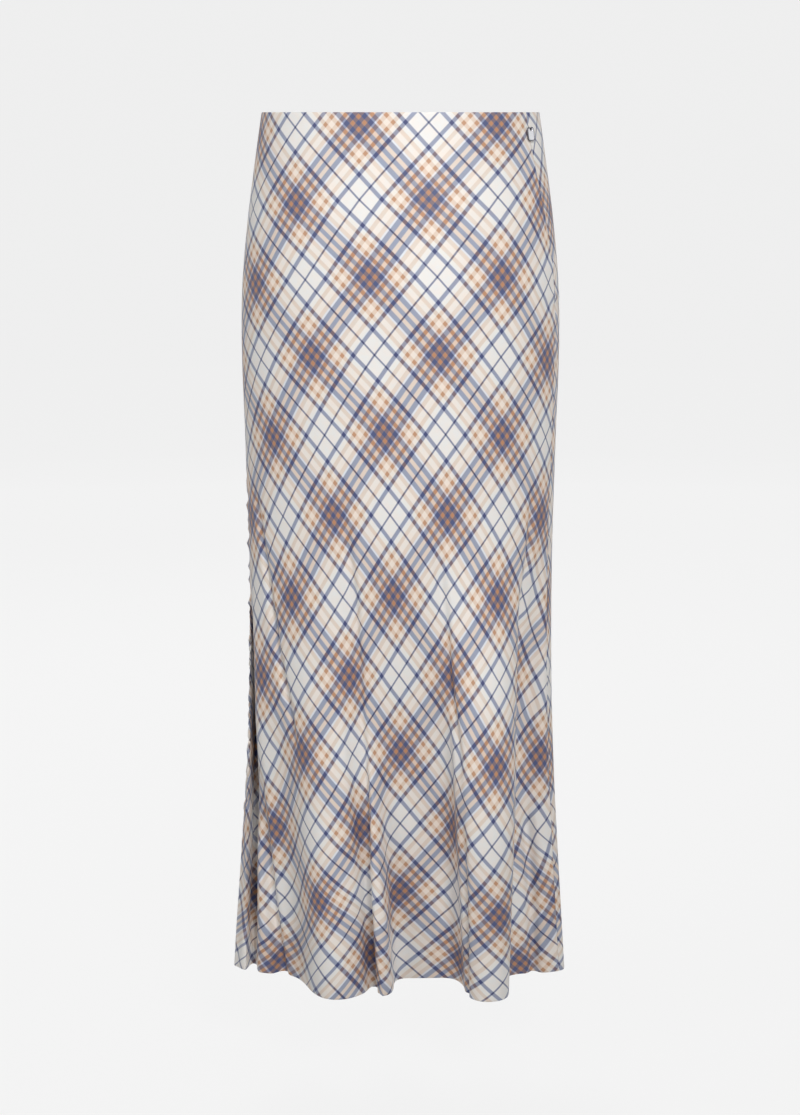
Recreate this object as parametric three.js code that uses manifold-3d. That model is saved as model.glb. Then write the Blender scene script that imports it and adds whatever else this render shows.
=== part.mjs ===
// A bias-cut maxi skirt, worn form, hanging from its waist edge.
// Millimetres, +Z up. The origin is the centre of the waist opening, level with the top edge.
// The front faces -Y, and +X is the wearer's left, where the zip is sewn into the side seam.
//
// Two cloth panels, front and back, meet at the two side seams. An invisible zip lies behind
// the wearer's left seam: its tape inside, its slider through the seam, its pull tab outside.
import * as THREE from 'three';
import { mergeVertices } from 'three/addons/utils/BufferGeometryUtils.js';
import Module from 'manifold-3d';

const wasm = await Module();
wasm.setup();

// ---------------------------------------------------------------- driving dimensions
const SIDE_LENGTH = 930; // waist edge to hem
const CLOTH = 1.2; // wall of the cloth
const SEAM_GAP = 0.3; // between the panels at a seam
const SEAM_ANGLE_WAIST = 63.2; // wearer's left seam, degrees round from centre front
const SEAM_ANGLE_HIP = 75;
const HIP_DEPTH = 190; // how far down the seam reaches its hip angle
const HALF_TURN = 180; // from one side seam to the other

// The body of the skirt: half its width, and its depths in front of and behind the side line.
const SECTION_COLUMNS = ['z', 'halfWidth', 'front', 'back'];
const SECTIONS = [
  [0, 144.7, 98, 100],
  [-50, 152, 103, 108],
  [-110, 160, 110, 120],
  [-180, 166.5, 114, 127],
  [-250, 167.5, 113, 125],
  [-340, 165, 110, 120],
  [-450, 162.5, 104, 112],
  [-560, 162.3, 90, 98],
  [-680, 165, 70, 78],
  [-800, 169.8, 52, 60],
  [-935, 177, 38, 48],
].map((row) => named(SECTION_COLUMNS, row));

// The folds. Each starts at one height, is fully out at another, and may fade again by the hem.
// Its angle is round from centre front. Its widths, top and hem, are on its left-hand and
// right-hand sides as seen from outside, where angles grow towards the right. `aim` is the way
// it is pushed, `out` how far, and `steep` is 1 where a flank stands straight up.
const FOLD_COLUMNS = ['name', 'aim', 'angleTop', 'angleHem', 'start', 'full', 'out', 'fade',
  'leftTop', 'leftHem', 'rightTop', 'rightHem', 'steepLeft', 'steepRight'];
const FOLDS = [
  ['leftSideCrease', -8, -86, -68, -460, -640, -36, 0.45, 14, 10, 16, 11, 0.8, 1],
  ['leftSoftCrease', -30, -76, -48, -620, -800, -10, 0, 12, 12, 12, 12, 0.3, 0.5],
  ['frontLeftFlute', 0, -37, -23.5, -420, -930, 55, 0, 65, 62, 80, 76, 0.3, 0.2],
  ['frontLeftCrease', 0, -23, -9, -420, -750, -6, 0, 20, 17, 16, 14, 0.2, 0.3],
  ['narrowFlute', 0, -12.5, -5, -600, -930, 32, 0, 18, 16, 24, 21, 0.9, 1],
  ['frontRightCrease', 0, 13, 20.5, -420, -750, -5, 0, 30, 24, 16, 12, 0.2, 0.2],
  ['frontRightFlute', 5, 33, 30.8, -400, -780, 62, 0, 90, 48, 96, 46, 0.9, 1.1],
  ['rightCrease', 30, 60, 47, -420, -580, -18, 0.9, 24, 20, 40, 36, 0.8, 0.2],
  ['rightSideFlute', 70, 82, 80, -600, -930, 4, 0, 30, 30, 30, 30, 0.2, 0.2],
  ['backLeftFlute', 150, 120, 124, -440, -930, 46, 0, 50, 36, 50, 40, 0.7, 0.8],
  ['backMidLeftFlute', 170, 154, 157, -400, -900, 54, 0, 60, 42, 50, 34, 0.9, 0.6],
  ['backMidRightFlute', 184, 191, 188, -460, -930, 50, 0, 50, 50, 50, 44, 0.5, 0.8],
  ['backRightFlute', 200, 224, 221, -420, -930, 52, 0, 50, 36, 50, 40, 0.8, 0.9],
  ['backSideFlute', 250, 256, 252, -500, -930, 10, 0, 30, 30, 30, 36, 0.5, 0.5],
].map((row) => named(FOLD_COLUMNS, row));

// The hem hangs a little lower on the flutes than between them.
const HEM_DIP = 0.12; // per mm that a flute stands out
const HEM_LEVEL_OUT = 22; // a fold this far out keeps the side length
const HEM_DIP_STARTS = 0.5; // share of the length where the dip begins

// The grids of the two panels: cells round and cells down.
const FRONT_CELLS = { round: 80, down: 24 };
const BACK_CELLS = { round: 56, down: 24 };
const ARC_STEP = 0.5; // degrees, for measuring along a section
const FRAME_STEP = { share: 1e-3, angle: 0.1 }; // for the directions at a point, in degrees round

// The zip.
const ZIP_LENGTH = 195;
const TAPE_HALF_WIDTH = 12;
const TAPE = 1;
const TAPE_GAP = 0.45; // behind the panels
const COIL_HALF_WIDTH = 1.3;
const COIL = 1.3; // how far the coil stands out of the tape, on the inside
const COIL_STARTS = 24; // below the top edge, clear of the slider
const COIL_FLANK = 0.3; // how far round the coil rises
const TAPE_TOP = 1.5;
const HINGE_DEPTH = 17; // the pull's pivot, below the top edge
const NECK = { width: 1.4, height: 2.4 };
const NECK_SLOT = { width: 2.2, height: 5 };
const SLIDER_BODY = { width: 7, height: 9, depth: 2.4 };
const SLOT_THROUGH = 12; // the slot tool's length, through cloth and tape
const HINGE_OUT = 2.1; // the pivot, out of the cloth: the pull's top end turns clear of it
const CROWN = { outer: 1.5, inner: 0.85, width: 1.6 };
const PULL = { top: 1.8, width: 11.6, height: 14.2, neckWidth: 6.4, shoulder: 4.2, corner: 3.2 };
const PULL_BROW = 0.6; // below the top, where the outline turns into the shoulder
const PULL_PLATE = { thickness: 0.7, inset: 0.3 };
const PULL_RIM = { width: 1, thickness: 1.1 };
const PULL_WINDOW = { width: 3, reach: 2.3 };
const CROSSBAR = { radius: 0.5, inset: 0.4 };

// ---------------------------------------------------------------- small helpers
function named(columns, row) {
  return Object.fromEntries(columns.map((column, i) => [column, row[i]]));
}

function radians(degrees) {
  return (degrees * Math.PI) / 180;
}

function clamp(value, low = 0, high = 1) {
  return Math.min(Math.max(value, low), high);
}

function smoothstep(x) {
  const t = clamp(x);
  return t * t * (3 - 2 * t);
}

function lerp(a, b, t) {
  return a + (b - a) * t;
}

function wrapDegrees(angle) {
  return ((((angle + HALF_TURN) % 360) + 360) % 360) - HALF_TURN;
}

// ---------------------------------------------------------------- the form of the skirt
// A smooth curve through one column of SECTIONS.
function sectionValue(z, column) {
  const depth = clamp(-z, 0, -SECTIONS[SECTIONS.length - 1].z);
  let i = SECTIONS.findIndex((row) => -row.z > depth) - 1;
  if (i < 0) i = SECTIONS.length - 2;
  const at = (k) => SECTIONS[clamp(k, 0, SECTIONS.length - 1)];
  const slope = (k) => (at(k + 1)[column] - at(k - 1)[column]) / (at(k - 1).z - at(k + 1).z);
  const span = at(i).z - at(i + 1).z;
  const s = (depth + at(i).z) / span;
  return (2 * s ** 3 - 3 * s ** 2 + 1) * at(i)[column]
    + (s ** 3 - 2 * s ** 2 + s) * span * slope(i)
    + (3 * s ** 2 - 2 * s ** 3) * at(i + 1)[column]
    + (s ** 3 - s ** 2) * span * slope(i + 1);
}

// How much of a fold there is at height z, and where it is.
function foldAt(fold, z) {
  const down = (fold.start - z) / (fold.start + SIDE_LENGTH);
  let grown = smoothstep((fold.start - z) / (fold.start - fold.full));
  if (fold.fade > 0) {
    grown *= 1 - fold.fade * smoothstep((fold.full - z) / (fold.full + SIDE_LENGTH));
  }
  return {
    angle: lerp(fold.angleTop, fold.angleHem, down),
    grown,
    left: lerp(fold.leftTop, fold.leftHem, down),
    right: lerp(fold.rightTop, fold.rightHem, down),
  };
}

// The point of the outer face at height z and an angle round, before the hem's dip.
function sectionPoint(z, angle) {
  const halfWidth = sectionValue(z, 'halfWidth');
  const front = sectionValue(z, 'front');
  const back = sectionValue(z, 'back');
  const sin = Math.sin(radians(angle));
  const cos = Math.cos(radians(angle));
  const depth = lerp(front, back, smoothstep(0.5 - cos));
  let x = halfWidth * sin;
  let y = -depth * cos;
  const speed = Math.hypot(halfWidth * cos, depth * sin);
  const tangent = [(halfWidth * cos) / speed, (depth * sin) / speed];
  let out = 0;
  for (const fold of FOLDS) {
    if (z >= fold.start) continue;
    const here = foldAt(fold, z);
    const turn = radians(here.angle);
    const foldDepth = Math.cos(turn) > 0 ? front : back;
    const foldSpeed = Math.hypot(halfWidth * Math.cos(turn), foldDepth * Math.sin(turn));
    const distance = radians(wrapDegrees(angle - here.angle)) * foldSpeed;
    const width = distance < 0 ? here.left : here.right;
    const share = distance / width;
    if (Math.abs(share) >= 1) continue;
    const push = (here.grown * fold.out * (1 + Math.cos(Math.PI * share))) / 2;
    const steep = distance < 0 ? fold.steepLeft : fold.steepRight;
    const slide = (here.grown * steep * width * Math.sin(2 * Math.PI * share)) / (2 * Math.PI);
    x += push * Math.sin(radians(fold.aim)) + slide * tangent[0];
    y += -push * Math.cos(radians(fold.aim)) + slide * tangent[1];
    out += push;
  }
  return { x, y, out };
}

// The point of the outer face a share of the way down, with the hem's dip.
function outerPoint(share, angle) {
  const z = -share * SIDE_LENGTH;
  const { x, y } = sectionPoint(z, angle);
  const dip = HEM_DIP * (sectionPoint(-SIDE_LENGTH, angle).out - HEM_LEVEL_OUT);
  const fall = dip * smoothstep((share - HEM_DIP_STARTS) / (1 - HEM_DIP_STARTS));
  return new THREE.Vector3(x, y, z - fall);
}

// The directions at a point: right along the cloth, up it, and out of it.
function frameAt(share, angle) {
  const step = FRAME_STEP.share;
  const turn = FRAME_STEP.angle;
  const down = clamp(share, step, 1 - step);
  const right = outerPoint(down, angle + turn).sub(outerPoint(down, angle - turn)).normalize();
  const up = outerPoint(down - step, angle).sub(outerPoint(down + step, angle)).normalize();
  const out = new THREE.Vector3().crossVectors(right, up).normalize();
  return { right, up: new THREE.Vector3().crossVectors(out, right), out };
}

// A point moved out of the cloth by a distance, or into the skirt where it is negative.
function movedPoint(share, angle, distance) {
  return outerPoint(share, angle).addScaledVector(frameAt(share, angle).out, distance);
}

function seamAngle(share) {
  const down = smoothstep((share * SIDE_LENGTH) / HIP_DEPTH);
  return lerp(SEAM_ANGLE_WAIST, SEAM_ANGLE_HIP, down);
}

// Angles evenly spaced by arc length from one angle to another, at one height.
function evenAngles(share, from, to, count, inset) {
  const z = -share * SIDE_LENGTH;
  const samples = Math.round((to - from) / ARC_STEP);
  const angles = Array.from({ length: samples + 1 }, (_, i) => lerp(from, to, i / samples));
  const arcs = [0];
  let last = sectionPoint(z, angles[0]);
  for (let i = 1; i <= samples; i += 1) {
    const next = sectionPoint(z, angles[i]);
    arcs.push(arcs[i - 1] + Math.hypot(next.x - last.x, next.y - last.y));
    last = next;
  }
  const total = arcs[samples];
  return Array.from({ length: count + 1 }, (_, k) => {
    const wanted = lerp(inset, total - inset, k / count);
    const i = clamp(arcs.findIndex((arc) => arc > wanted) - 1, 0, samples - 1);
    return lerp(angles[i], angles[i + 1], (wanted - arcs[i]) / (arcs[i + 1] - arcs[i]));
  });
}

// ---------------------------------------------------------------- closed walls
// A closed wall from two grids of points, the outer face and the inner face.
function wallGeometry(outer, inner) {
  const rows = outer.length;
  const columns = outer[0].length;
  const points = [...outer.flat(), ...inner.flat()];
  const at = (face, row, column) => face * rows * columns + row * columns + column;
  const triangles = [];
  const quad = (a, b, c, d) => triangles.push(a, b, c, a, c, d);
  for (let row = 0; row < rows - 1; row += 1) {
    for (let column = 0; column < columns - 1; column += 1) {
      quad(at(0, row, column), at(0, row + 1, column),
        at(0, row + 1, column + 1), at(0, row, column + 1));
      quad(at(1, row, column), at(1, row, column + 1),
        at(1, row + 1, column + 1), at(1, row + 1, column));
    }
  }
  for (let column = 0; column < columns - 1; column += 1) {
    quad(at(0, 0, column), at(0, 0, column + 1), at(1, 0, column + 1), at(1, 0, column));
    quad(at(0, rows - 1, column + 1), at(0, rows - 1, column),
      at(1, rows - 1, column), at(1, rows - 1, column + 1));
  }
  for (let row = 0; row < rows - 1; row += 1) {
    quad(at(0, row + 1, 0), at(0, row, 0), at(1, row, 0), at(1, row + 1, 0));
    quad(at(0, row, columns - 1), at(0, row + 1, columns - 1),
      at(1, row + 1, columns - 1), at(1, row, columns - 1));
  }
  const geometry = new THREE.BufferGeometry();
  const positions = points.flatMap((point) => [point.x, point.y, point.z]);
  geometry.setAttribute('position', new THREE.Float32BufferAttribute(positions, 3));
  geometry.setIndex(triangles);
  return geometry;
}

// ---------------------------------------------------------------- joining and cutting
function toSolid(geometry) {
  const bare = geometry.clone();
  bare.deleteAttribute('normal');
  bare.deleteAttribute('uv');
  const merged = mergeVertices(bare, 1e-4);
  return new wasm.Manifold(new wasm.Mesh({
    numProp: 3,
    vertProperties: new Float32Array(merged.attributes.position.array),
    triVerts: new Uint32Array(merged.index.array),
  }));
}

function toGeometry(solid) {
  const mesh = solid.getMesh();
  const geometry = new THREE.BufferGeometry();
  geometry.setAttribute('position', new THREE.BufferAttribute(mesh.vertProperties, mesh.numProp));
  geometry.setIndex(new THREE.BufferAttribute(mesh.triVerts, 1));
  return geometry;
}

function joined(geometries) {
  return toGeometry(geometries.map(toSolid).reduce((whole, solid) => whole.add(solid)));
}

function cut(geometry, tools) {
  return toGeometry(tools.map(toSolid).reduce((whole, tool) => whole.subtract(tool),
    toSolid(geometry)));
}

// ---------------------------------------------------------------- the seam at the slider
// A frame on the seam at the pull's pivot: x to the right, y up the cloth, z out of it.
const hingeShare = HINGE_DEPTH / SIDE_LENGTH;
const hingeFrame = frameAt(hingeShare, seamAngle(hingeShare));
const seamPoint = outerPoint(hingeShare, seamAngle(hingeShare));
const seamMatrix = new THREE.Matrix4()
  .makeBasis(hingeFrame.right, hingeFrame.up, hingeFrame.out)
  .setPosition(seamPoint);

function boxAt(width, height, depth, x, y, z) {
  return new THREE.BoxGeometry(width, height, depth).translate(x, y, z);
}

// The slot that lets the slider's neck through the seam and the tape.
function neckSlot() {
  const { width, height } = NECK_SLOT;
  return boxAt(width, height, SLOT_THROUGH, 0, 0, 0).applyMatrix4(seamMatrix);
}

// ---------------------------------------------------------------- the cloth panels
// One panel, from one side seam round to the other.
function panelGeometry(firstTurn, cells) {
  const outer = [];
  const inner = [];
  for (let row = 0; row <= cells.down; row += 1) {
    const share = row / cells.down;
    const from = seamAngle(share) + firstTurn;
    const angles = evenAngles(share, from, from + HALF_TURN, cells.round, SEAM_GAP / 2);
    outer.push(angles.map((angle) => outerPoint(share, angle)));
    inner.push(angles.map((angle) => movedPoint(share, angle, -CLOTH)));
  }
  return cut(wallGeometry(outer, inner), [neckSlot()]);
}

// ---------------------------------------------------------------- the zip
// The closed zip: two tapes and their coil as one strip behind the seam.
function tapeGeometry() {
  const rowDepths = [TAPE_TOP, COIL_STARTS - 1, COIL_STARTS];
  const rowStep = SIDE_LENGTH / FRONT_CELLS.down;
  for (let depth = rowStep; depth < ZIP_LENGTH; depth += rowStep) rowDepths.push(depth);
  rowDepths.push(ZIP_LENGTH);
  const across = [-1, -0.5].map((part) => part * TAPE_HALF_WIDTH)
    .concat([-COIL_HALF_WIDTH - COIL_FLANK, -COIL_HALF_WIDTH]);
  const places = [...across, ...across.map((place) => -place).reverse()];
  const outer = [];
  const inner = [];
  for (const depth of rowDepths) {
    const share = depth / SIDE_LENGTH;
    const seam = seamAngle(share);
    const reach = 1; // degree
    const perDegree = outerPoint(share, seam + reach).distanceTo(outerPoint(share, seam));
    const angles = places.map((place) => seam + place / perDegree);
    const thickness = places.map((place) => (
      depth >= COIL_STARTS && Math.abs(place) <= COIL_HALF_WIDTH ? TAPE + COIL : TAPE));
    const face = -CLOTH - TAPE_GAP;
    outer.push(angles.map((angle) => movedPoint(share, angle, face)));
    inner.push(angles.map((angle, i) => movedPoint(share, angle, face - thickness[i])));
  }
  return cut(wallGeometry(outer, inner), [neckSlot()]);
}

// The slider: a body behind the tape, a neck through the seam, and a crown for the pull.
function sliderGeometry() {
  const bodyFront = -CLOTH - TAPE_GAP - TAPE - SEAM_GAP;
  const body = boxAt(SLIDER_BODY.width, SLIDER_BODY.height, SLIDER_BODY.depth,
    0, 0, bodyFront - SLIDER_BODY.depth / 2);
  const neckOut = HINGE_OUT - (CROWN.inner + CROWN.outer) / 2;
  const neckIn = bodyFront - SLIDER_BODY.depth / 2;
  const neck = boxAt(NECK.width, NECK.height, neckOut - neckIn, 0, 0, (neckOut + neckIn) / 2);
  const ring = new THREE.Shape().absarc(0, 0, CROWN.outer, 0, 2 * Math.PI);
  ring.holes.push(new THREE.Path().absarc(0, 0, CROWN.inner, 0, 2 * Math.PI));
  const crown = new THREE.ExtrudeGeometry(ring,
    { depth: CROWN.width, bevelEnabled: false, curveSegments: 10 });
  crown.translate(0, 0, -CROWN.width / 2).rotateY(Math.PI / 2).translate(0, 0, HINGE_OUT);
  return joined([body, neck, crown]).applyMatrix4(seamMatrix);
}

// The outline of the pull tab, widening from its top to its rounded foot.
function pullOutline(inset) {
  const half = PULL.width / 2 - inset;
  const neck = PULL.neckWidth / 2 - inset;
  const top = PULL.top - inset;
  const foot = PULL.top - PULL.height + inset;
  const shoulder = PULL.top - PULL.shoulder;
  const corner = PULL.corner - inset;
  const shape = new THREE.Shape();
  shape.moveTo(-neck, top);
  shape.lineTo(neck, top);
  shape.quadraticCurveTo(half, top - PULL_BROW, half, shoulder);
  shape.lineTo(half, foot + corner);
  shape.quadraticCurveTo(half, foot, half - corner, foot);
  shape.lineTo(-half + corner, foot);
  shape.quadraticCurveTo(-half, foot, -half, foot + corner);
  shape.lineTo(-half, shoulder);
  shape.quadraticCurveTo(-half, top - PULL_BROW, -neck, top);
  return shape;
}

function slab(shape, thickness) {
  const geometry = new THREE.ExtrudeGeometry(shape,
    { depth: thickness, bevelEnabled: false, curveSegments: 5 });
  return geometry.translate(0, 0, -thickness / 2);
}

// The pull tab: a plate with a raised rim and a window, where the crossbar runs in the crown.
function pullGeometry() {
  const rim = pullOutline(0);
  rim.holes.push(new THREE.Path(pullOutline(PULL_RIM.width).getPoints(5).reverse()));
  const face = slab(pullOutline(PULL_PLATE.inset), PULL_PLATE.thickness);
  const plate = joined([slab(rim, PULL_RIM.thickness), face]);
  const window = boxAt(PULL_WINDOW.width, PULL_WINDOW.reach * 2, PULL_RIM.thickness * 2, 0, 0, 0);
  const pierced = cut(plate, [window]);
  const crossbar = new THREE.CylinderGeometry(CROSSBAR.radius, CROSSBAR.radius,
    PULL.neckWidth - 2 * CROSSBAR.inset, 10).rotateZ(Math.PI / 2);
  return joined([pierced, crossbar]).translate(0, 0, HINGE_OUT).applyMatrix4(seamMatrix);
}

// ---------------------------------------------------------------- the whole skirt
const CLOTH_LOOK = { color: 0xd9cfcb, roughness: 0.55, metalness: 0 };
const METAL_LOOK = { color: 0xb9b9bb, roughness: 0.3, metalness: 1 };
const TAPE_LOOK = { color: 0xe6e1da, roughness: 0.8, metalness: 0 };

function part(name, geometry, look) {
  const mesh = new THREE.Mesh(geometry, new THREE.MeshStandardMaterial(look));
  mesh.name = name;
  return mesh;
}

const group = new THREE.Group();
group.add(
  part('front_panel', panelGeometry(-HALF_TURN, FRONT_CELLS), CLOTH_LOOK),
  part('back_panel', panelGeometry(0, BACK_CELLS), CLOTH_LOOK),
  part('zip_tape', tapeGeometry(), TAPE_LOOK),
  part('zip_slider', sliderGeometry(), METAL_LOOK),
  part('zip_pull', pullGeometry(), METAL_LOOK),
);

export default group;
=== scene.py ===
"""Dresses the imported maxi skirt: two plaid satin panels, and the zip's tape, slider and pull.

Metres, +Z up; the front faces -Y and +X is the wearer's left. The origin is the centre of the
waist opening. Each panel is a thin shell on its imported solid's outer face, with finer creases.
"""
import math

import bmesh
import bpy
import numpy as np
from mathutils import Matrix, Vector


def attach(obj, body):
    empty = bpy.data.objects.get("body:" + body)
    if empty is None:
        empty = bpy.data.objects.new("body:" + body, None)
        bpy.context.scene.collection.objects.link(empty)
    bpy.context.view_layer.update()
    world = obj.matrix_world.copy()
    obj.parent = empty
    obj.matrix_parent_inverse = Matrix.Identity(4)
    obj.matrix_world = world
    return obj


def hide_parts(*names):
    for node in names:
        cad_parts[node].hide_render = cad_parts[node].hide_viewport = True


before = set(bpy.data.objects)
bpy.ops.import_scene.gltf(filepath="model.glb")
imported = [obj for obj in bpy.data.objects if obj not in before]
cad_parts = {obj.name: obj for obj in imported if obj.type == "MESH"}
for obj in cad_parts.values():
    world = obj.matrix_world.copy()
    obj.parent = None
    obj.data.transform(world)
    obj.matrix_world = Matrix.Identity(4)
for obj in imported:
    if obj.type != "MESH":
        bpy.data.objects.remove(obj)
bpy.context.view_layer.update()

# ------------------------------------------------------------ driving dimensions
SIDE_LENGTH = 0.930  # waist edge to hem
CLOTH = 0.0006  # the satin
TURNED = 0.0006  # what a seam allowance, the hem or the waist edge adds inside
SEAM_GAP = 0.0003
SEAM_ANGLE_WAIST = 63.2  # wearer's left seam, degrees round from centre front
SEAM_ANGLE_HIP = 75.0
HIP_DEPTH = 0.190
HALF_TURN = 180.0
ALLOWANCE_WIDTH = 0.010
HEM_HEIGHT = 0.009
WAIST_TURN = 0.012
TURN_STEP = 0.001  # the width over which a turned edge's step fades
SEAM_ROLL, SEAM_ROLL_WIDTH = 0.0004, 0.0016  # how far an edge rolls in, and from where
END_ROLL, END_ROLL_WIDTH = 0.0003, 0.0012  # the same at the waist and the hem
ROLL_THINNING = 1.6  # how much thinner the cloth is, per metre that it rolls in

# The body of the skirt: height, half its width, its depth in front and behind.
SECTIONS = np.array([
    (0.000, 0.1447, 0.098, 0.100),
    (-0.050, 0.1520, 0.103, 0.108),
    (-0.110, 0.1600, 0.110, 0.120),
    (-0.180, 0.1665, 0.114, 0.127),
    (-0.250, 0.1675, 0.113, 0.125),
    (-0.340, 0.1650, 0.110, 0.120),
    (-0.450, 0.1625, 0.104, 0.112),
    (-0.560, 0.1623, 0.090, 0.098),
    (-0.680, 0.1650, 0.070, 0.078),
    (-0.800, 0.1698, 0.052, 0.060),
    (-0.935, 0.1770, 0.038, 0.048),
])
HALF_WIDTH, FRONT, BACK = 1, 2, 3  # its columns

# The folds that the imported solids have. Angles are round from centre front, and widths are on
# a fold's left-hand and right-hand sides; steep is 1 where a flank stands straight up.
FOLD_COLUMNS = ("name", "aim", "angle_top", "angle_hem", "start", "full", "out", "fade",
                "left_top", "left_hem", "right_top", "right_hem", "steep_left", "steep_right")
FOLDS = [dict(zip(FOLD_COLUMNS, row)) for row in (
    ("left_side_crease", -8, -86, -68, -.46, -.64, -.036, .45, .014, .010, .016, .011, .8, 1),
    ("left_soft_crease", -30, -76, -48, -.62, -.80, -.010, 0, .012, .012, .012, .012, .3, .5),
    ("front_left_flute", 0, -37, -23.5, -.42, -.93, .055, 0, .065, .062, .080, .076, .3, .2),
    ("front_left_crease", 0, -23, -9, -.42, -.75, -.006, 0, .020, .017, .016, .014, .2, .3),
    ("narrow_flute", 0, -12.5, -5, -.60, -.93, .032, 0, .018, .016, .024, .021, .9, 1),
    ("front_right_crease", 0, 13, 20.5, -.42, -.75, -.005, 0, .030, .024, .016, .012, .2, .2),
    ("front_right_flute", 5, 33, 30.8, -.40, -.78, .062, 0, .090, .048, .096, .046, .9, 1.1),
    ("right_crease", 30, 60, 47, -.42, -.58, -.018, .9, .024, .020, .040, .036, .8, .2),
    ("right_side_flute", 70, 82, 80, -.60, -.93, .004, 0, .030, .030, .030, .030, .2, .2),
    ("back_left_flute", 150, 120, 124, -.44, -.93, .046, 0, .050, .036, .050, .040, .7, .8),
    ("back_mid_left_flute", 170, 154, 157, -.40, -.90, .054, 0, .060, .042, .050, .034, .9, .6),
    ("back_mid_right_flute", 184, 191, 188, -.46, -.93, .050, 0, .050, .050, .050, .044, .5, .8),
    ("back_right_flute", 200, 224, 221, -.42, -.93, .052, 0, .050, .036, .050, .040, .8, .9),
    ("back_side_flute", 250, 256, 252, -.50, -.93, .010, 0, .030, .030, .030, .036, .5, .5),
)]
HEM_DIP = 0.12  # how far the hem hangs lower, per metre that a fold stands out
HEM_LEVEL_OUT = 0.022
HEM_DIP_STARTS = 0.5

# Finer creases: half width, height (a trough is negative), and the line it
# follows as (angle, height) points from its top to its foot.
CREASES = [
    (0.0090, -0.0075, [(-80, -.60), (-75, -.72), (-71, -.82), (-68.5, -.93)]),
    (0.0080, -0.0040, [(-71, -.38), (-65, -.434), (-60, -.485), (-57, -.53)]),
    (0.0080, -0.0054, [(-60, -.48), (-54, -.56), (-48, -.61), (-41, -.68)]),
    (0.0080, -0.0054, [(-23.2, -.37), (-18.4, -.472), (-15.6, -.568), (-13.8, -.662),
                       (-11.4, -.785), (-10, -.84)]),
    (0.0070, 0.0020, [(-9, -.76), (-7.6, -.798), (-6.4, -.829), (-5.2, -.863), (-4.6, -.90)]),
    (0.0060, -0.0030, [(-11, -.80), (-10, -.865), (-7, -.905), (-5.8, -.94)]),
    (0.0090, -0.0048, [(13, -.40), (15, -.49), (17.2, -.58), (22.2, -.652), (24.2, -.736)]),
    (0.0080, -0.0045, [(24.2, -.70), (24.4, -.79), (24.4, -.846), (24, -.94)]),
    (0.0080, -0.0040, [(57.5, -.37), (57.5, -.50), (57, -.545), (54, -.60)]),
    (0.0100, -0.0075, [(57, -.72), (56.3, -.84), (55, -.94)]),
    (0.0070, -0.0036, [(112, -.50), (108, -.62), (106, -.74)]),
    (0.0085, -0.0042, [(138, -.40), (139, -.52), (141, -.64), (143, -.78)]),
    (0.0080, -0.0046, [(171, -.38), (172, -.50), (174, -.64), (174.5, -.80), (173, -.94)]),
    (0.0085, -0.0042, [(206, -.42), (205, -.55), (203.5, -.68), (204, -.82)]),
    (0.0075, -0.0038, [(236, -.46), (234, -.58), (230, -.72)]),
]
CREASE_END = 0.3  # share of a crease's length over which it fades at each end

# Small waves down the cloth: (waves per metre, in radians; size; phase).
PUCKER_WAVES = [(520, 1, 0), (833, 0.6, 1.3), (291, 0.5, 0.4)]
STOP_WAVES = [(231, 1, 0.8), (389, 0.5, 0)]
CRUMPLE_WAVES = [(300, 1, 0), (470, 0.8, 1.1), (190, 0.6, 0)]
PUCKER_HEIGHT, PUCKER_REACH = 0.00012, 0.007  # beside both side seams
PUCKERS_START, PUCKERS_FULL = 0.03, 0.03  # below the top edge, and how far on they are full
STOP_HEIGHT, STOP_REACH, STOP_SPAN = 0.0009, 0.022, 0.045  # round the foot of the zip
CRUMPLE_HEIGHT, CRUMPLE_REACH = 0.0009, 0.012
CRUMPLES_AT = -88  # degrees; the line that they run down, at the edge of the front
CRUMPLES_TOP, CRUMPLES_FOOT = -0.36, -0.82
CRUMPLES_GROW, CRUMPLES_FADE = 0.06, 0.08

# The zip, at the wearer's left seam. The pull hangs from a crossbar in the slider's crown.
ZIP_LENGTH = 0.195
HINGE_DEPTH = 0.0170  # the pull's pivot, below the top edge
HINGE_OUT = 0.0021  # the pivot, out of the cloth
NECK_SLOT = 0.0011  # half the width of the gap for the slider's neck
NECK_SLOT_REACH = 0.0034  # half its height
NECK_SLOT_SOFT = 0.0012  # the height over which it closes
PULL_TOP, PULL_FOOT = 0.0018, -0.0124  # above and below the pivot
PULL_SHOULDER, PULL_BROW = -0.0024, 0.0012
PULL_HALF_WIDTH, PULL_HALF_NECK, PULL_CORNER = 0.0058, 0.0032, 0.0032
PULL_RIM_WIDTH, PULL_RIM_THICKNESS, PULL_PLATE_THICKNESS = 0.0010, 0.0011, 0.0007
WINDOW_HALF_WIDTH, WINDOW_FOOT = 0.0015, -0.0023
CROSSBAR_RADIUS, CROSSBAR_LENGTH = 0.0005, 0.0056
CROWN_OUTER, CROWN_INNER, CROWN_WIDTH = 0.0015, 0.00085, 0.0016
NECK_WIDTH, NECK_HEIGHT, NECK_IN, NECK_OUT = 0.0014, 0.0024, -0.00625, -0.00118
NECK_MIDDLE = (NECK_IN + NECK_OUT) / 2
SLIDER_TOP_WIDTH, SLIDER_FOOT_WIDTH, SLIDER_HEIGHT, SLIDER_DEPTH = 0.0070, 0.0058, 0.0090, 0.0024
SOFT_EDGE = 0.0002

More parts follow.
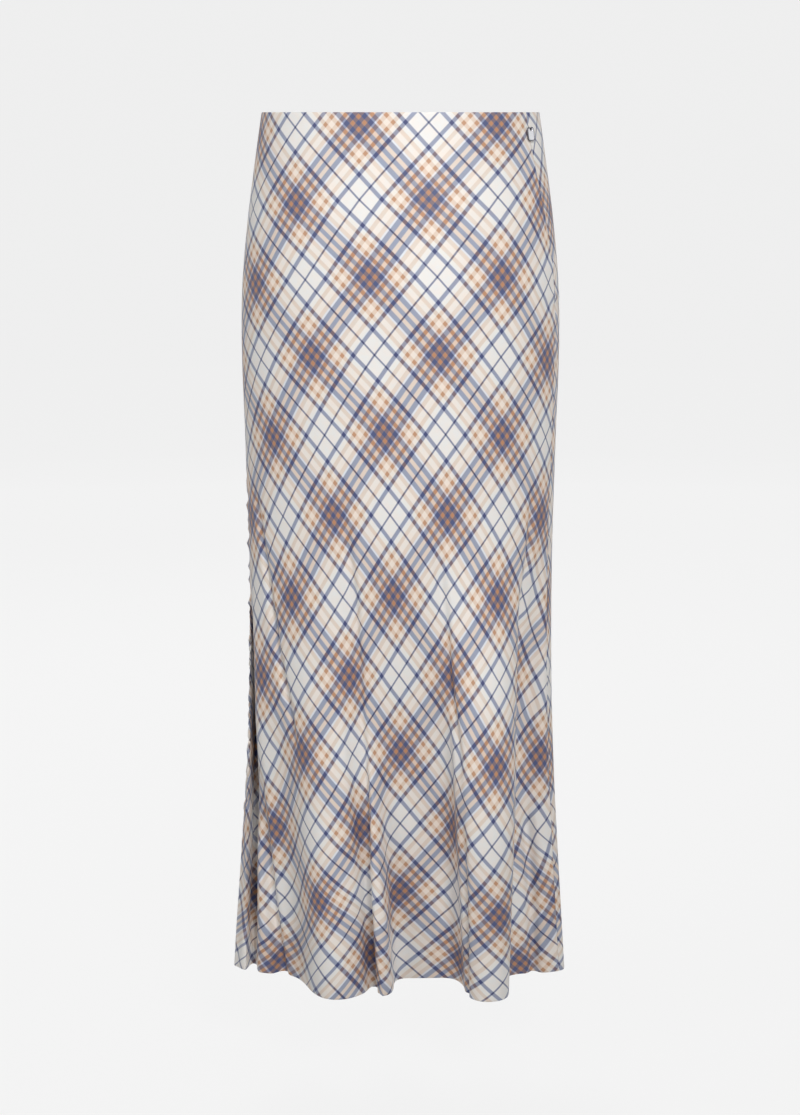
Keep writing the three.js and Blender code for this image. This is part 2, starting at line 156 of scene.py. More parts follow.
# The plaid. Heights of the repeat down the centre line, and its diagonal.
REPEAT_HEIGHTS = [(0, .152), (-.200, .157), (-.330, .166), (-.470, .174), (-.620, .172),
                  (-.750, .163), (-.850, .148), (-.950, .131)]
REPEAT_DIAGONAL = 0.208
FIRST_ROW = -0.010  # height of the first row of dark diamonds
OFFSETS = [(0, .70), (-.086, .70), (-.163, .77), (-.242, .80), (-.325, .87), (-.410, .91),
           (-.498, .93), (-.582, .98), (-.669, 1.0), (-.950, 1.0)]
BACK_OFFSET = 0.82
DROOP = 0.012  # rows hang this much lower at DROOP_AT from the centre line
DROOP_AT = 0.170
DROOP_MOST = 0.022
# Where the bias cloth is drawn right and up on the front: the place across and its height, how
# far that reaches both ways, and how far the cloth moves right and up.
PULLS = [
    (.128, -.085, .06, .09, .006, .006),
    (-.055, -.56, .05, .08, .003, 0),
    (-.095, -.68, .06, .07, .004, .005),
    (-.105, -.87, .055, .10, 0, .018),
    (-.165, -.87, .05, .12, .009, .004),
]
SETT = 5.7  # units from the centre of the dark stripes to the centre of the pale ground

# The grids: cells round and down each panel.
FRONT_CELLS = (190, 200)
BACK_CELLS = (170, 180)
EDGE_STEPS = (0, .0004, .001, .002, .0035, .006, .0095, .0105)  # columns near a seam
TOP_STEPS = (0, .0005, .0015, .003, .006, .0085, .0108, .0120, .0132, .0142, .0152, .0161, .0170,
             .0179, .0188, .0198, .0210, .0225, .0240)
HEM_STEPS = (.0105, .0095, .0085, .006, .003, .0012, .0004, 0)
ARC_STEP = 0.25  # degrees
CLOTH_SHARP, METAL_SHARP = 60, 40  # degrees; an edge that turns more than this stays sharp

# The view.
CAMERA_AT = (-0.0005, -2.8, 0.0)
CAMERA_TILT = 9.54  # degrees below level
FOCAL_LENGTH, SENSOR_WIDTH = 85.56, 36  # mm
FLOOR = -1.035
PAPER_SHADE, PAPER_GLOW = 0.02, 0.838  # the stage's own colour, and the light that it gives off
WORLD_LIGHT = 0.205


# ------------------------------------------------------------ small helpers
def smoothstep(x):
    t = np.clip(x, 0, 1)
    return t * t * (3 - 2 * t)


def wrap(angle):
    return (angle + HALF_TURN) % 360 - HALF_TURN


def linear(red, green, blue):
    """A colour given as 0 to 255, for a shader."""
    def one(c):
        c /= 255
        return c / 12.92 if c <= 0.04045 else ((c + 0.055) / 1.055) ** 2.4
    return one(red), one(green), one(blue), 1.0


def table_value(points, at):
    """A straight-line reading of (height, value) points that run downwards."""
    heights, values = np.array(points, float).T
    return np.interp(-np.asarray(at), -heights, values)


def add_object(name, data):
    added = bpy.data.objects.new(name, data)
    bpy.context.scene.collection.objects.link(added)
    return added


# ------------------------------------------------------------ the form of the skirt
def section_value(z, column):
    """A smooth curve through one column of SECTIONS."""
    heights, values = SECTIONS[:, 0], SECTIONS[:, column]
    last = len(heights) - 1
    depth = min(max(-z, 0), -heights[last])
    i = min(int(np.searchsorted(-heights, depth, side="right")) - 1, last - 1)

    def slope(k):
        above, below = max(k - 1, 0), min(k + 1, last)
        return (values[below] - values[above]) / (heights[above] - heights[below])

    span = heights[i] - heights[i + 1]
    s = (depth + heights[i]) / span
    return ((2 * s**3 - 3 * s**2 + 1) * values[i] + (s**3 - 2 * s**2 + s) * span * slope(i)
            + (3 * s**2 - 2 * s**3) * values[i + 1] + (s**3 - s**2) * span * slope(i + 1))


def fold_grown(fold, z):
    grown = smoothstep((fold["start"] - z) / (fold["start"] - fold["full"]))
    if fold["fade"] > 0:
        late = (fold["full"] - z) / (fold["full"] + SIDE_LENGTH)
        grown *= 1 - fold["fade"] * smoothstep(late)
    return grown


def fold_shape(fold, z, angles, half_width, front, back):
    """How far one fold pushes the cloth out, and slides it along, at one height."""
    down = (fold["start"] - z) / (fold["start"] + SIDE_LENGTH)
    grown = fold_grown(fold, z)
    middle = fold["angle_top"] + (fold["angle_hem"] - fold["angle_top"]) * down
    left = fold["left_top"] + (fold["left_hem"] - fold["left_top"]) * down
    right = fold["right_top"] + (fold["right_hem"] - fold["right_top"]) * down
    at = math.radians(middle)
    depth = front if math.cos(at) > 0 else back
    speed = math.hypot(half_width * math.cos(at), depth * math.sin(at))
    distance = np.radians(wrap(angles - middle)) * speed
    width = np.where(distance < 0, left, right)
    steep = np.where(distance < 0, fold["steep_left"], fold["steep_right"])
    share = np.clip(distance / width, -1, 1)
    push = grown * fold["out"] * (1 + np.cos(np.pi * share)) / 2
    slide = grown * steep * width * np.sin(2 * np.pi * share) / (2 * np.pi)
    return push, slide


def section_points(z, angles):
    """x, y and how far the folds push out, round the skirt at one height."""
    half_width, front, back = (section_value(z, k) for k in (HALF_WIDTH, FRONT, BACK))
    turn = np.radians(angles)
    sin, cos = np.sin(turn), np.cos(turn)
    depth = front + (back - front) * smoothstep(0.5 - cos)
    x, y = half_width * sin, -depth * cos
    speed = np.hypot(half_width * cos, depth * sin)
    tangent = half_width * cos / speed, depth * sin / speed
    out = np.zeros_like(x)
    for fold in FOLDS:
        if z >= fold["start"]:
            continue
        push, slide = fold_shape(fold, z, angles, half_width, front, back)
        aim = math.radians(fold["aim"])
        x = x + push * math.sin(aim) + slide * tangent[0]
        y = y - push * math.cos(aim) + slide * tangent[1]
        out = out + push
    return x, y, out


def seam_angle(share):
    down = smoothstep(share * SIDE_LENGTH / HIP_DEPTH)
    return SEAM_ANGLE_WAIST + (SEAM_ANGLE_HIP - SEAM_ANGLE_WAIST) * down


def outer_points(share, angles):
    """Points of the outer face at one share of the length, with the hem's dip."""
    angles = np.asarray(angles, float)
    z = -share * SIDE_LENGTH
    x, y, _ = section_points(z, angles)
    dip = HEM_DIP * (section_points(-SIDE_LENGTH, angles)[2] - HEM_LEVEL_OUT)
    fall = dip * smoothstep((share - HEM_DIP_STARTS) / (1 - HEM_DIP_STARTS))
    return np.stack([x, y, z - fall], axis=-1)


def frame_at(share, angle):
    """The directions at a point: right along the cloth, up it, and out of it."""
    step, turn = 1e-3, 0.1
    down = min(max(share, step), 1 - step)

    def at(s, a):
        return Vector(outer_points(s, [a])[0])

    right = (at(down, angle + turn) - at(down, angle - turn)).normalized()
    up = (at(down - step, angle) - at(down + step, angle)).normalized()
    out = right.cross(up).normalized()
    return right, out.cross(right), out


# ------------------------------------------------------------ the finer creases
def crease_relief(z, arcs, arc_at):
    """How far the finer creases push a row of the cloth out, along the given lines."""
    relief = np.zeros_like(arcs)
    for half_width, height, line in CREASES:
        angles, heights = np.array(line, float).T
        top, foot = heights[0], heights[-1]
        if not foot < z < top:
            continue
        along = (top - z) / (top - foot)
        ends = smoothstep(along / CREASE_END)
        if foot >= -SIDE_LENGTH:
            ends *= smoothstep((1 - along) / CREASE_END)
        middle = arc_at(np.interp(-z, -heights, angles))
        share = np.clip((arcs - middle) / half_width, -1, 1)
        relief += height * ends * (1 + np.cos(np.pi * share)) / 2
    return relief


def waves(z, table):
    return sum(size * math.sin(z * rate + phase) for rate, size, phase in table)


def beside(distance, reach):
    """1 on a line, falling to 0 at about twice the reach from it."""
    return np.exp(-((distance / reach) ** 2))


def seam_relief(z, from_seam, zip_side):
    """The small puckers along a side seam, larger round the foot of the zip."""
    calm = smoothstep((-z - PUCKERS_START) / PUCKERS_FULL)
    relief = PUCKER_HEIGHT * waves(z, PUCKER_WAVES) * beside(from_seam, PUCKER_REACH) * calm
    if zip_side:
        near_stop = beside(z + ZIP_LENGTH, STOP_SPAN)
        broad = waves(z, STOP_WAVES) * beside(from_seam, STOP_REACH)
        relief = relief + STOP_HEIGHT * near_stop * broad
    return relief


def crumple_relief(z, from_line):
    """The small crumples down the wearer's right edge, from hip to knee."""
    there = smoothstep((CRUMPLES_TOP - z) / CRUMPLES_GROW)
    there *= smoothstep((z - CRUMPLES_FOOT) / CRUMPLES_FADE)
    return CRUMPLE_HEIGHT * waves(z, CRUMPLE_WAVES) * there * beside(from_line, CRUMPLE_REACH)


# ------------------------------------------------------------ the plaid's place on the cloth
PLAID_STEP = 0.001
PLAID_HEIGHTS = np.arange(0.02, -1.0, -PLAID_STEP)
PLAID_ROWS = np.cumsum(PLAID_STEP / table_value(REPEAT_HEIGHTS, PLAID_HEIGHTS))
PLAID_ROWS -= np.interp(-FIRST_ROW, -PLAID_HEIGHTS, PLAID_ROWS)


def drawn(z, across):
    """How far the cloth is drawn right and up at points of a row."""
    right, up = np.zeros_like(across), np.zeros_like(across)
    for place, height, reach_across, reach_down, move_right, move_up in PULLS:
        away = ((across - place) / reach_across) ** 2 + ((z - height) / reach_down) ** 2
        right += move_right * np.exp(-away)
        up += move_up * np.exp(-away)
    return right, up


def plaid_place(z, across, back):
    """Where points of the cloth are in the plaid's two directions, in repeats."""
    right, up = (0, 0) if back else drawn(z, across)
    across = across - right
    sag = DROOP_MOST * np.tanh(DROOP / DROOP_MOST * (across / DROOP_AT) ** 2)
    level = z + sag - up
    down = np.interp(-level, -PLAID_HEIGHTS, PLAID_ROWS)
    height = table_value(REPEAT_HEIGHTS, level)
    width = np.sqrt(REPEAT_DIAGONAL**2 - height**2)
    offset = BACK_OFFSET if back else table_value(OFFSETS, level)
    along = across / width - offset
    return along + down, along - down


# ------------------------------------------------------------ the cloth panels
def places(total, steps, count):
    """Distances across a panel: close together at both edges, then even."""
    near = np.array(steps)
    inner = np.linspace(near[-1], total - near[-1], count - 2 * (len(near) - 1) + 1)
    return np.concatenate([near[:-1], inner, total - near[:-1][::-1]])


def row_shares(count):
    top, hem = np.array(TOP_STEPS), SIDE_LENGTH - np.array(HEM_STEPS)
    middle = np.linspace(top[-1], hem[0], count - len(top) - len(hem) + 3)
    return np.concatenate([top[:-1], middle, hem[1:]]) / SIDE_LENGTH


def slot_inset(depth):
    """How far an edge stands off the seam line: wider round the slider's neck."""
    near = smoothstep((NECK_SLOT_REACH - abs(depth - HINGE_DEPTH)) / NECK_SLOT_SOFT)
    return SEAM_GAP / 2 + (NECK_SLOT - SEAM_GAP / 2) * near


def pushed_out(x, y, distance):
    """A row's points moved out of the cloth."""
    along_x, along_y = np.gradient(x), np.gradient(y)
    length = np.hypot(along_x, along_y)
    return x + along_y / length * distance, y - along_x / length * distance


def arc_lengths(x, y):
    """How far along a row each of its points is."""
    return np.concatenate([[0], np.cumsum(np.hypot(np.diff(x), np.diff(y)))])


def row_relief(z, arc, arc_at, back):
    """How far the creases, puckers and crumples push a row of a panel out."""
    relief = crease_relief(z, arc, arc_at)
    left_seam = arc if back else arc[-1] - arc
    right_seam = arc[-1] - arc if back else arc
    relief += seam_relief(z, left_seam, True) + seam_relief(z, right_seam, False)
    if not back:
        relief += crumple_relief(z, arc - arc_at(CRUMPLES_AT))
    return relief


def panel_row(share, first_turn, columns, back):
    """A row's points, their relief, their places in the plaid and how far off a seam they are."""
    z = -share * SIDE_LENGTH
    start = seam_angle(share) + first_turn
    fine = np.linspace(start, start + HALF_TURN, round(HALF_TURN / ARC_STEP) + 1)
    x, y, _ = section_points(z, fine)
    arc = arc_lengths(x, y)

    def arc_at(angle):
        near = angle + 360 * round((start + HALF_TURN / 2 - angle) / 360)
        return np.interp(near, fine, arc, left=-1, right=arc[-1] + 1)

    relief = row_relief(z, arc, arc_at, back)
    creased = arc_lengths(*pushed_out(x, y, relief))
    inset = slot_inset(-z)
    low, high = (inset, SEAM_GAP / 2) if back else (SEAM_GAP / 2, inset)
    wanted = low + places(creased[-1] - low - high, EDGE_STEPS, columns)
    points = outer_points(share, np.interp(wanted, creased, fine))
    centre = np.interp(HALF_TURN if back else 0.0, fine, creased)
    plaid = np.stack(plaid_place(z, wanted - centre, back), axis=-1)
    seams = np.minimum(wanted, creased[-1] - wanted)
    return points, np.interp(wanted, creased, relief), plaid, seams


def panel_rows(first_turn, cells, back):
    """The same for the whole panel, each as a grid of rows from the waist to the hem."""
    columns, rows = cells
    table = [panel_row(share, first_turn, columns, back) for share in row_shares(rows)]
    return [np.array(column) for column in zip(*table)]


def grid_normals(points):
    down = np.gradient(points, axis=0)
    across = np.gradient(points, axis=1)
    normal = np.cross(down, across)
    return normal / np.linalg.norm(normal, axis=-1, keepdims=True)


def shell_faces(rows, columns):
    """Quads of a closed shell: outer face, inner face and the four edges."""
    def at(face, row, column):
        return face * rows * columns + row * columns + column

    r, c = np.meshgrid(np.arange(rows - 1), np.arange(columns - 1), indexing="ij")
    r, c = r.ravel(), c.ravel()
    outer = np.stack([at(0, r, c), at(0, r + 1, c), at(0, r + 1, c + 1), at(0, r, c + 1)], 1)
    inner = np.stack([at(1, r, c), at(1, r, c + 1), at(1, r + 1, c + 1), at(1, r + 1, c)], 1)
    c, r = np.arange(columns - 1), np.arange(rows - 1)
    end, side = rows - 1, columns - 1
    top = np.stack([at(0, 0, c), at(0, 0, c + 1), at(1, 0, c + 1), at(1, 0, c)], 1)
    hem = np.stack([at(0, end, c + 1), at(0, end, c), at(1, end, c), at(1, end, c + 1)], 1)
    left = np.stack([at(0, r + 1, 0), at(0, r, 0), at(1, r, 0), at(1, r + 1, 0)], 1)
    right = np.stack([at(0, r, side), at(0, r + 1, side),
                      at(1, r + 1, side), at(1, r, side)], 1)
    return np.concatenate([outer, inner, top, hem, left, right])


def edge_step(distance, width):
    return 1 - smoothstep((distance - width) / TURN_STEP)


def edge_roll(seams, depth):
    """How far the cloth rolls in at its four edges."""
    rolled = SEAM_ROLL * np.clip(1 - seams / SEAM_ROLL_WIDTH, 0, 1) ** 2
    for end in (depth, SIDE_LENGTH - depth):
        rolled += END_ROLL * np.clip(1 - end / END_ROLL_WIDTH, 0, 1) ** 2
    return rolled


def cloth_thickness(seams, depth, rolled):
    """More where a seam, the waist edge or the hem is turned in, and less where an edge rolls."""
    turned = np.maximum.reduce([edge_step(seams, ALLOWANCE_WIDTH),
                                edge_step(depth, WAIST_TURN),
                                edge_step(SIDE_LENGTH - depth, HEM_HEIGHT)])
    return CLOTH + TURNED * turned - ROLL_THINNING * rolled


def cloth_mesh(name, outer, inner, plaid):
    """The shell between two grids of points, with their places in the plaid as its UV map."""
    vertices = np.concatenate([outer.reshape(-1, 3), inner.reshape(-1, 3)])
    mesh = bpy.data.meshes.new(name)
    mesh.from_pydata(vertices.tolist(), [], shell_faces(*outer.shape[:2]).tolist())
    both = np.concatenate([plaid.reshape(-1, 2)] * 2)
    layer = mesh.uv_layers.new(name="plaid")
    loops = np.empty(len(mesh.loops), np.int32)
    mesh.loops.foreach_get("vertex_index", loops)
    layer.data.foreach_set("uv", both[loops].astype(np.float32).ravel())
    mesh.shade_smooth()
    mesh.set_sharp_from_angle(angle=math.radians(CLOTH_SHARP))
    return mesh


def make_panel(name, node, first_turn, cells, back, material):
    points, relief, plaid, seams = panel_rows(first_turn, cells, back)
    depth = (row_shares(cells[1]) * SIDE_LENGTH)[:, None] + 0 * seams
    rolled = edge_roll(seams, depth)
    outer = points + grid_normals(points) * (relief - rolled)[..., None]
    thickness = cloth_thickness(seams, depth, rolled)
    inner = outer - grid_normals(outer) * thickness[..., None]
    panel = add_object(name, cloth_mesh(name, outer, inner, plaid))
    panel.data.materials.append(material)
    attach(panel, "skirt")
    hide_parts(node)
    return panel


# ------------------------------------------------------------ the slider and its pull
def hinge_frame():
    """At the pull's pivot: x to the right, y up the cloth, z out of it."""
    share = HINGE_DEPTH / SIDE_LENGTH
    angle = seam_angle(share)
    right, up, out = frame_at(share, angle)
    pivot = Vector(outer_points(share, [angle])[0]) + out * HINGE_OUT
    return Matrix.Translation(pivot) @ Matrix((right, up, out)).transposed().to_4x4()


def bend(start, middle, end, steps=8):
    """Points on a smooth bend from start to end, drawn towards middle."""
    a, b, c = (np.array(point) for point in (start, middle, end))
    shares = np.linspace(0, 1, steps + 1)
    return [tuple((1 - t) ** 2 * a + 2 * t * (1 - t) * b + t**2 * c) for t in shares]


def circle(radius, steps=40):
    turns = np.linspace(0, 2 * math.pi, steps, endpoint=False)
    return [(radius * math.cos(turn), radius * math.sin(turn)) for turn in turns]


def slab(outlines, thickness, bevel=SOFT_EDGE):
    """A flat solid with soft edges; its outlines stand a bevel's width inside its sides."""
    curve = bpy.data.curves.new("outline", "CURVE")
    curve.dimensions = "2D"
    curve.fill_mode = "BOTH"
    curve.extrude = thickness / 2 - bevel
    curve.bevel_depth = bevel
    curve.bevel_resolution = 2
    for outline in outlines:
        spline = curve.splines.new("POLY")
        spline.points.add(len(outline) - 1)
        spline.use_cyclic_u = True
        for point, (x, y) in zip(spline.points, outline):
            point.co = (x, y, 0, 1)
    carrier = bpy.data.objects.new("outline", curve)
    mesh = bpy.data.meshes.new_from_object(carrier)
    bpy.data.objects.remove(carrier)
    bpy.data.curves.remove(curve)
    return mesh


def metal_piece(name, node, body, shapes, materials):
    """One piece from (mesh, place, material's index) rows, given in the hinge's frame."""
    whole = bmesh.new()
    for mesh, place, index in shapes:
        mesh.transform(hinge_frame() @ place)
        mesh.polygons.foreach_set("material_index", [index] * len(mesh.polygons))
        whole.from_mesh(mesh)
        bpy.data.meshes.remove(mesh)
    merged = bpy.data.meshes.new(name)
    for material in materials:
        merged.materials.append(material)
    whole.to_mesh(merged)
    whole.free()
    merged.shade_smooth()
    merged.set_sharp_from_angle(angle=math.radians(METAL_SHARP))
    piece = add_object(name, merged)
    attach(piece, body)
    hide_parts(node)


def pull_side(inset):
    """The pull's outline from the right of its top, round its foot, to the left."""
    half, neck = PULL_HALF_WIDTH - inset, PULL_HALF_NECK - inset
    top, foot, corner = PULL_TOP - inset, PULL_FOOT + inset, PULL_CORNER - inset
    right = bend((neck, top), (half, PULL_BROW - inset), (half, PULL_SHOULDER))
    right += bend((half, foot + corner), (half, foot), (half - corner, foot))
    return right + [(-x, y) for x, y in reversed(right)]


def make_pull(bright, painted_reflection_metal):
    """A plate with a raised rim, a window for the crown, and the crossbar over it."""
    inner = PULL_RIM_WIDTH - SOFT_EDGE
    gap = WINDOW_HALF_WIDTH + SOFT_EDGE
    rim = [(gap, PULL_TOP - SOFT_EDGE), *pull_side(SOFT_EDGE), (-gap, PULL_TOP - SOFT_EDGE)]
    rim += [(-gap, PULL_TOP - inner), *reversed(pull_side(inner)), (gap, PULL_TOP - inner)]
    edge = PULL_RIM_WIDTH / 2
    plate = [(gap, PULL_TOP - edge), *pull_side(edge), (-gap, PULL_TOP - edge)]
    plate += [(-gap, WINDOW_FOOT), (gap, WINDOW_FOOT)]
    flat = Matrix.Identity(4)
    sideways = Matrix.Rotation(math.pi / 2, 4, "Y")
    metal_piece("zip_pull_tab", "zip_pull", "pull", [
        # Index 1, the dark metal on the rim and the crossbar, is painted reflection.
        (slab([rim], PULL_RIM_THICKNESS), flat, 1),
        (slab([plate], PULL_PLATE_THICKNESS), flat, 0),
        (slab([circle(CROSSBAR_RADIUS - SOFT_EDGE)], CROSSBAR_LENGTH), sideways, 1),
    ], [bright, painted_reflection_metal])


def make_slider(bright, painted_reflection_metal):
    """The body inside the skirt, the neck through the seam, and the crown outside it."""
    top, foot = SLIDER_TOP_WIDTH / 2 - SOFT_EDGE, SLIDER_FOOT_WIDTH / 2 - SOFT_EDGE
    tall, corner = SLIDER_HEIGHT / 2 - SOFT_EDGE, SLIDER_HEIGHT / 6
    right = bend((top - corner, tall), (top, tall), (top, tall - corner))
    right += bend((foot, corner - tall), (foot, -tall), (foot - corner, -tall))
    body = right + [(-x, y) for x, y in reversed(right)]
    wide, high = NECK_WIDTH / 2 - SOFT_EDGE, NECK_HEIGHT / 2 - SOFT_EDGE
    neck = [(wide, high), (-wide, high), (-wide, -high), (wide, -high)]
    crown = [circle(CROWN_OUTER - SOFT_EDGE), circle(CROWN_INNER + SOFT_EDGE)]
    metal_piece("zip_slider_body", "zip_slider", "skirt", [
        (slab([body], SLIDER_DEPTH), Matrix.Translation((0, 0, NECK_IN)), 0),
        (slab([neck], NECK_OUT - NECK_IN), Matrix.Translation((0, 0, NECK_MIDDLE)), 0),
        # Index 1, the dark metal on the crown, is painted reflection.
        (slab(crown, CROWN_WIDTH), Matrix.Rotation(math.pi / 2, 4, "Y"), 1),
    ], [bright, painted_reflection_metal])


# ------------------------------------------------------------ materials
def new_material(name):
    material = bpy.data.materials.new(name)
    material.use_nodes = True
    tree = material.node_tree
    tree.nodes.clear()
    shader = tree.nodes.new("ShaderNodeBsdfPrincipled")
    output = tree.nodes.new("ShaderNodeOutputMaterial")
    tree.links.new(shader.outputs["BSDF"], output.inputs["Surface"])
    return material, tree, shader


def set_inputs(node, values):
    for name, value in values.items():
        node.inputs[name].default_value = value


def math_node(tree, operation, *inputs, clamp=False):
    node = tree.nodes.new("ShaderNodeMath")
    node.operation = operation
    node.use_clamp = clamp
    for socket, value in zip(node.inputs, inputs):
        if isinstance(value, (int, float)):
            socket.default_value = value
        else:
            tree.links.new(value, socket)
    return node.outputs[0]


MIX_FACTOR, MIX_A, MIX_B, MIX_RESULT = 0, 6, 7, 2  # a Mix node's sockets for colours


def mix_colour(tree, blend, factor, a, b):
    node = tree.nodes.new("ShaderNodeMix")
    node.data_type = "RGBA"
    node.blend_type = blend
    node.clamp_result = False
    for index, value in ((MIX_FACTOR, factor), (MIX_A, a), (MIX_B, b)):
        if isinstance(value, (int, float, tuple)):
            node.inputs[index].default_value = value
        else:
            tree.links.new(value, node.inputs[index])
    return node.outputs[MIX_RESULT]


def bump_node(tree, height, strength, distance):
    node = tree.nodes.new("ShaderNodeBump")
    set_inputs(node, {"Strength": strength, "Distance": distance})
    tree.links.new(height, node.inputs["Height"])
    return node.outputs[0]


def noise_node(tree, place, scale, detail):
    node = tree.nodes.new("ShaderNodeTexNoise")
    set_inputs(node, {"Scale": scale, "Detail": detail})
    tree.links.new(place, node.inputs["Vector"])
    return node.outputs[0]


def split_place(tree, place):
    node = tree.nodes.new("ShaderNodeSeparateXYZ")
    tree.links.new(place, node.inputs[0])
    return node.outputs


# The plaid's sett from the centre of the dark stripes outwards: where each stripe ends, its
# colour over the pale ground, and its shares of navy and of tan thread.
IVORY = (240, 237, 233)
STRIPES = [
    (0.25, (155, 162, 183), 1.0, 0.0),
    (0.72, (229, 213, 199), 0.0, 1.0),
    (1.28, (155, 162, 183), 1.0, 0.0),
    (1.50, (230, 231, 236), 0.15, 0.1),
    (1.98, (230, 216, 203), 0.0, 0.92),
    (2.60, (242, 234, 226), 0.0, 0.1),
    (3.05, (230, 215, 201), 0.0, 0.92),
    (3.50, (239, 236, 231), 0.0, 0.1),
    (3.60, (233, 235, 238), 0.0, 0.0),
    (4.05, (152, 158, 180), 1.15, 0.0),
    (5.60, IVORY, 0.0, 0.0),
    (5.70, (126, 132, 158), 0.9, 0.0),
]
STRIPE_EDGE = 0.05  # half the width over which one stripe turns into the next
NAVY_MOST = 1.15  # the largest share of navy thread in STRIPES
NAVY_ON_NAVY = (0.46, 0.47, 0.69, 1.0)
TAN_ON_TAN = (0.72, 0.47, 0.31, 1.0)
NAVY_ON_TAN = (0.66, 0.46, 0.46, 1.0)
WARM, COOL = (1.0, 0.972, 0.952, 1.0), (0.968, 0.985, 1.0, 1.0)  # the satin's slow changes of hue
HUE_SPOTS = 14.0  # in a repeat
THREADS = 250.0  # in a repeat
TAPE_RIBS = 9000.0  # radians in a metre


def stripe_ramp(tree, place, read):
    """A colour ramp over the sett, with soft edges between the stripes."""
    node = tree.nodes.new("ShaderNodeValToRGB")
    ramp = node.color_ramp
    stops, start = [], 0.0
    for end, *stripe in STRIPES:
        colour = read(*stripe)
        first, last = start + STRIPE_EDGE * (start > 0), end - STRIPE_EDGE * (end < SETT)
        stops += [(first / SETT, colour), (max(last, first + 0.001) / SETT, colour)]
        start = end
    ramp.elements[0].position, ramp.elements[0].color = stops[0]
    ramp.elements[1].position, ramp.elements[1].color = stops[-1]
    for position, colour in stops[1:-1]:
        ramp.elements.new(position).color = colour
    tree.links.new(place, node.inputs[0])
    return node.outputs[0]


def plaid_colour(tree, first, second):
    """The plaid's colour from its place in both directions."""
    colours, masks = [], []
    for place in (first, second):
        near = math_node(tree, "PINGPONG", place, 0.5)
        share = math_node(tree, "MULTIPLY", near, 2.0)
        colours.append(stripe_ramp(tree, share, lambda rgb, navy, tan: linear(*rgb)))
        mask = stripe_ramp(tree, share, lambda rgb, navy, tan: (navy / NAVY_MOST, tan, 0, 1))
        split = tree.nodes.new("ShaderNodeSeparateColor")
        tree.links.new(mask, split.inputs[0])
        masks.append((split.outputs[0], split.outputs[1]))
    (navy_1, tan_1), (navy_2, tan_2) = masks
    ground = linear(*IVORY)
    bare = mix_colour(tree, "MULTIPLY", 1.0, colours[0], colours[1])
    bare = mix_colour(tree, "DIVIDE", 1.0, bare, ground)
    navy = math_node(tree, "MULTIPLY", navy_1, navy_2)
    tan = math_node(tree, "MULTIPLY", tan_1, tan_2)
    mixed = math_node(tree, "ADD", math_node(tree, "MULTIPLY", navy_1, tan_2),
                      math_node(tree, "MULTIPLY", tan_1, navy_2))
    colour = mix_colour(tree, "MULTIPLY", navy, bare, NAVY_ON_NAVY)
    colour = mix_colour(tree, "MULTIPLY", tan, colour, TAN_ON_TAN)
    return mix_colour(tree, "MULTIPLY", mixed, colour, NAVY_ON_TAN)


def spread(tree, value):
    """A noise's middle values, spread over 0 to 1."""
    return math_node(tree, "MULTIPLY_ADD", value, 3.0, -1.0, clamp=True)


def thread_bump(tree, first, second):
    """The twill face: warp threads, and the slanting line where they cross the weft."""
    warp = math_node(tree, "SINE", math_node(tree, "MULTIPLY", first, 2 * math.pi * THREADS))
    both = math_node(tree, "ADD", first, second)
    line = math_node(tree, "SINE", math_node(tree, "MULTIPLY", both, math.pi * THREADS))
    height = math_node(tree, "ADD", warp, line)
    return bump_node(tree, height, strength=0.25, distance=0.00004)


def satin_material():
    material, tree, shader = new_material("plaid_satin")
    uv = tree.nodes.new("ShaderNodeUVMap")
    uv.uv_map = "plaid"
    first, second, _ = split_place(tree, uv.outputs[0])
    spots = noise_node(tree, uv.outputs[0], scale=HUE_SPOTS, detail=3.0)
    hue = mix_colour(tree, "MIX", spread(tree, spots), WARM, COOL)
    colour = mix_colour(tree, "MULTIPLY", 1.0, plaid_colour(tree, first, second), hue)
    tree.links.new(colour, shader.inputs["Base Color"])
    tree.links.new(thread_bump(tree, first, second), shader.inputs["Normal"])
    set_inputs(shader, {"Roughness": 0.48, "Specular IOR Level": 0.35,
                        "Sheen Weight": 0.15, "Sheen Roughness": 0.4})
    return material


def metal_material(name, colour):
    """Polished metal, with faint wear in its gloss and in its surface."""
    material, tree, shader = new_material(name)
    set_inputs(shader, {"Base Color": linear(*colour), "Metallic": 1.0})
    place = tree.nodes.new("ShaderNodeTexCoord").outputs["Object"]
    wear = noise_node(tree, place, scale=1400.0, detail=4.0)
    gloss = math_node(tree, "MULTIPLY_ADD", wear, 0.22, 0.10)
    tree.links.new(gloss, shader.inputs["Roughness"])
    bump = bump_node(tree, wear, strength=0.15, distance=0.00003)
    tree.links.new(bump, shader.inputs["Normal"])
    return material


def tape_material():
    """A fine plain-woven tape."""
    material, tree, shader = new_material("zip_tape")
    set_inputs(shader, {"Base Color": linear(232, 228, 220), "Roughness": 0.8})
    place = tree.nodes.new("ShaderNodeTexCoord").outputs["Object"]
    _, _, height = split_place(tree, place)
    ribs = math_node(tree, "SINE", math_node(tree, "MULTIPLY", height, TAPE_RIBS))
    bump = bump_node(tree, ribs, strength=0.4, distance=0.0001)
    tree.links.new(bump, shader.inputs["Normal"])
    return material


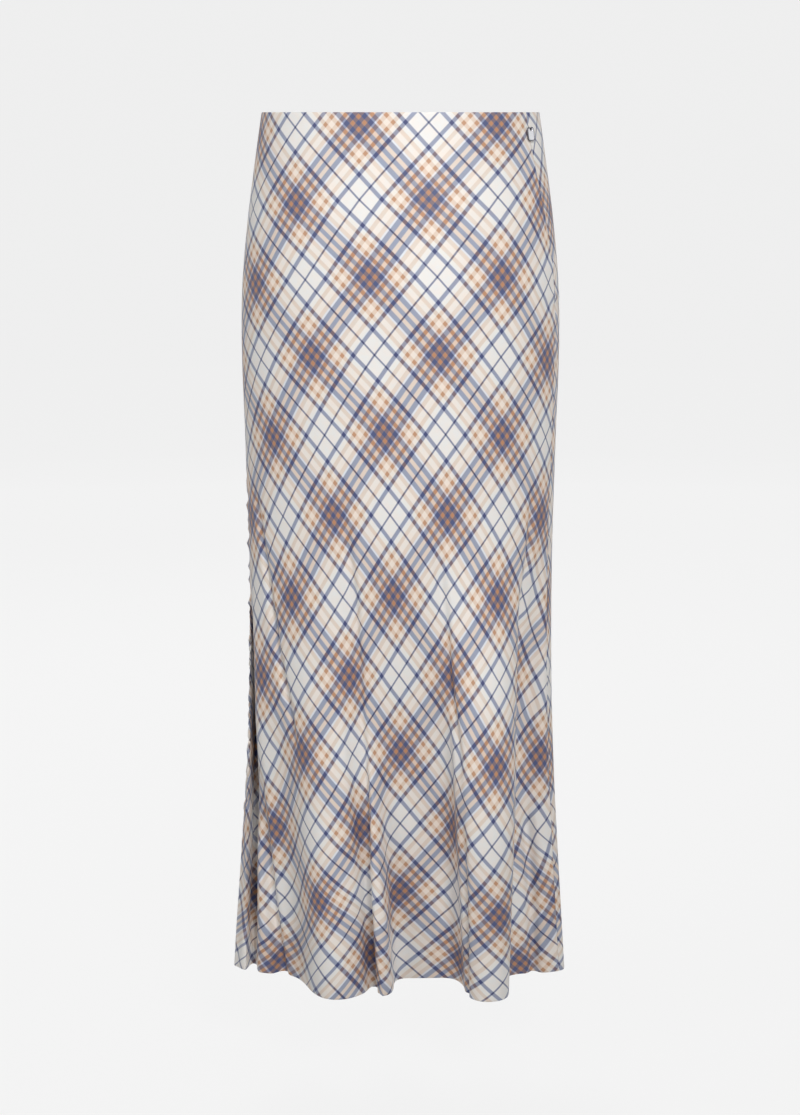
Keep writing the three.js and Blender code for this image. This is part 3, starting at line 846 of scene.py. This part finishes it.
# ------------------------------------------------------------ the stage
def make_stage():
    """A pale floor that sweeps up into a round wall, far outside the object."""
    profile = [(0.0, 0.0), (4.6, 0.0), (5.0, 0.03), (5.5, 0.25), (5.9, 0.8), (6.1, 1.6),
               (6.2, 3.0), (6.2, 6.0)]
    turns = 96
    points, faces = [], []
    for radius, height in profile:
        for k in range(turns):
            a = 2 * math.pi * k / turns
            points.append((radius * math.sin(a), radius * math.cos(a), FLOOR + height))
    for i in range(len(profile) - 1):
        for k in range(turns):
            n = (k + 1) % turns
            faces.append((i * turns + k, i * turns + n, (i + 1) * turns + n, (i + 1) * turns + k))
    mesh = bpy.data.meshes.new("studio_sweep")
    mesh.from_pydata(points, [], faces)
    mesh.shade_smooth()
    material, _, shader = new_material("studio_paper")
    set_inputs(shader, {"Base Color": (PAPER_SHADE, PAPER_SHADE, PAPER_SHADE, 1), "Roughness": 0.9,
                        "Emission Color": (1, 1, 1, 1), "Emission Strength": PAPER_GLOW})
    mesh.materials.append(material)
    sweep = add_object("studio_sweep", mesh)
    sweep.visible_diffuse = False


def make_camera():
    data = bpy.data.cameras.new("camera")
    data.lens = FOCAL_LENGTH
    data.sensor_width = SENSOR_WIDTH
    camera = add_object("camera", data)
    camera.location = CAMERA_AT
    camera.rotation_euler = (math.radians(90 - CAMERA_TILT), 0, 0)
    bpy.context.scene.camera = camera


def area_light(name, at, size, power, aim, spread=180):
    data = bpy.data.lights.new(name, "AREA")
    data.shape = "RECTANGLE"
    data.size, data.size_y = size
    data.energy = power
    data.spread = math.radians(spread)
    light = add_object(name, data)
    light.location = at
    light.rotation_euler = (Vector(aim) - Vector(at)).to_track_quat("-Z", "Y").to_euler()
    light.visible_camera = False


def make_lights():
    area_light("key", (0.70, -2.6, 1.2), (0.9, 0.9), 13.5, (0.05, 0, -0.42), spread=90)
    area_light("left fill", (-2.2, -2.1, 0.8), (1.2, 1.2), 31, (0, 0, -0.3))
    area_light("right fill", (2.3, -1.9, 0.8), (1.2, 1.2), 13, (0, 0, -0.3))
    area_light("back", (-0.5, 2.8, 0.9), (1.2, 1.2), 32, (0, 0, -0.35))
    world = bpy.data.worlds.new("studio")
    world.use_nodes = True
    background = world.node_tree.nodes["Background"]
    set_inputs(background, {"Color": (1, 1, 1, 1), "Strength": WORLD_LIGHT})
    bpy.context.scene.world = world
    bpy.context.scene.view_settings.view_transform = "Standard"


# ------------------------------------------------------------ the whole skirt
make_camera()
make_stage()
make_lights()
satin = satin_material()
plate_metal = metal_material("zip_metal_plate", (232, 232, 236))
# The dark metal on the rim, crossbar and crown is painted reflection: a darker colour standing in for
# the dark surroundings that polished edges mirror. The metal itself is the plate's.
rim_metal_painted_reflection = metal_material("zip_metal_rim_painted_reflection", (118, 118, 126))
front = make_panel("front_cloth", "front_panel", -HALF_TURN, FRONT_CELLS, False, satin)
back = make_panel("back_cloth", "back_panel", 0.0, BACK_CELLS, True, satin)
make_slider(plate_metal, rim_metal_painted_reflection)
make_pull(plate_metal, rim_metal_painted_reflection)
tape = bpy.data.objects["zip_tape"]
tape.data.materials.clear()
tape.data.materials.append(tape_material())
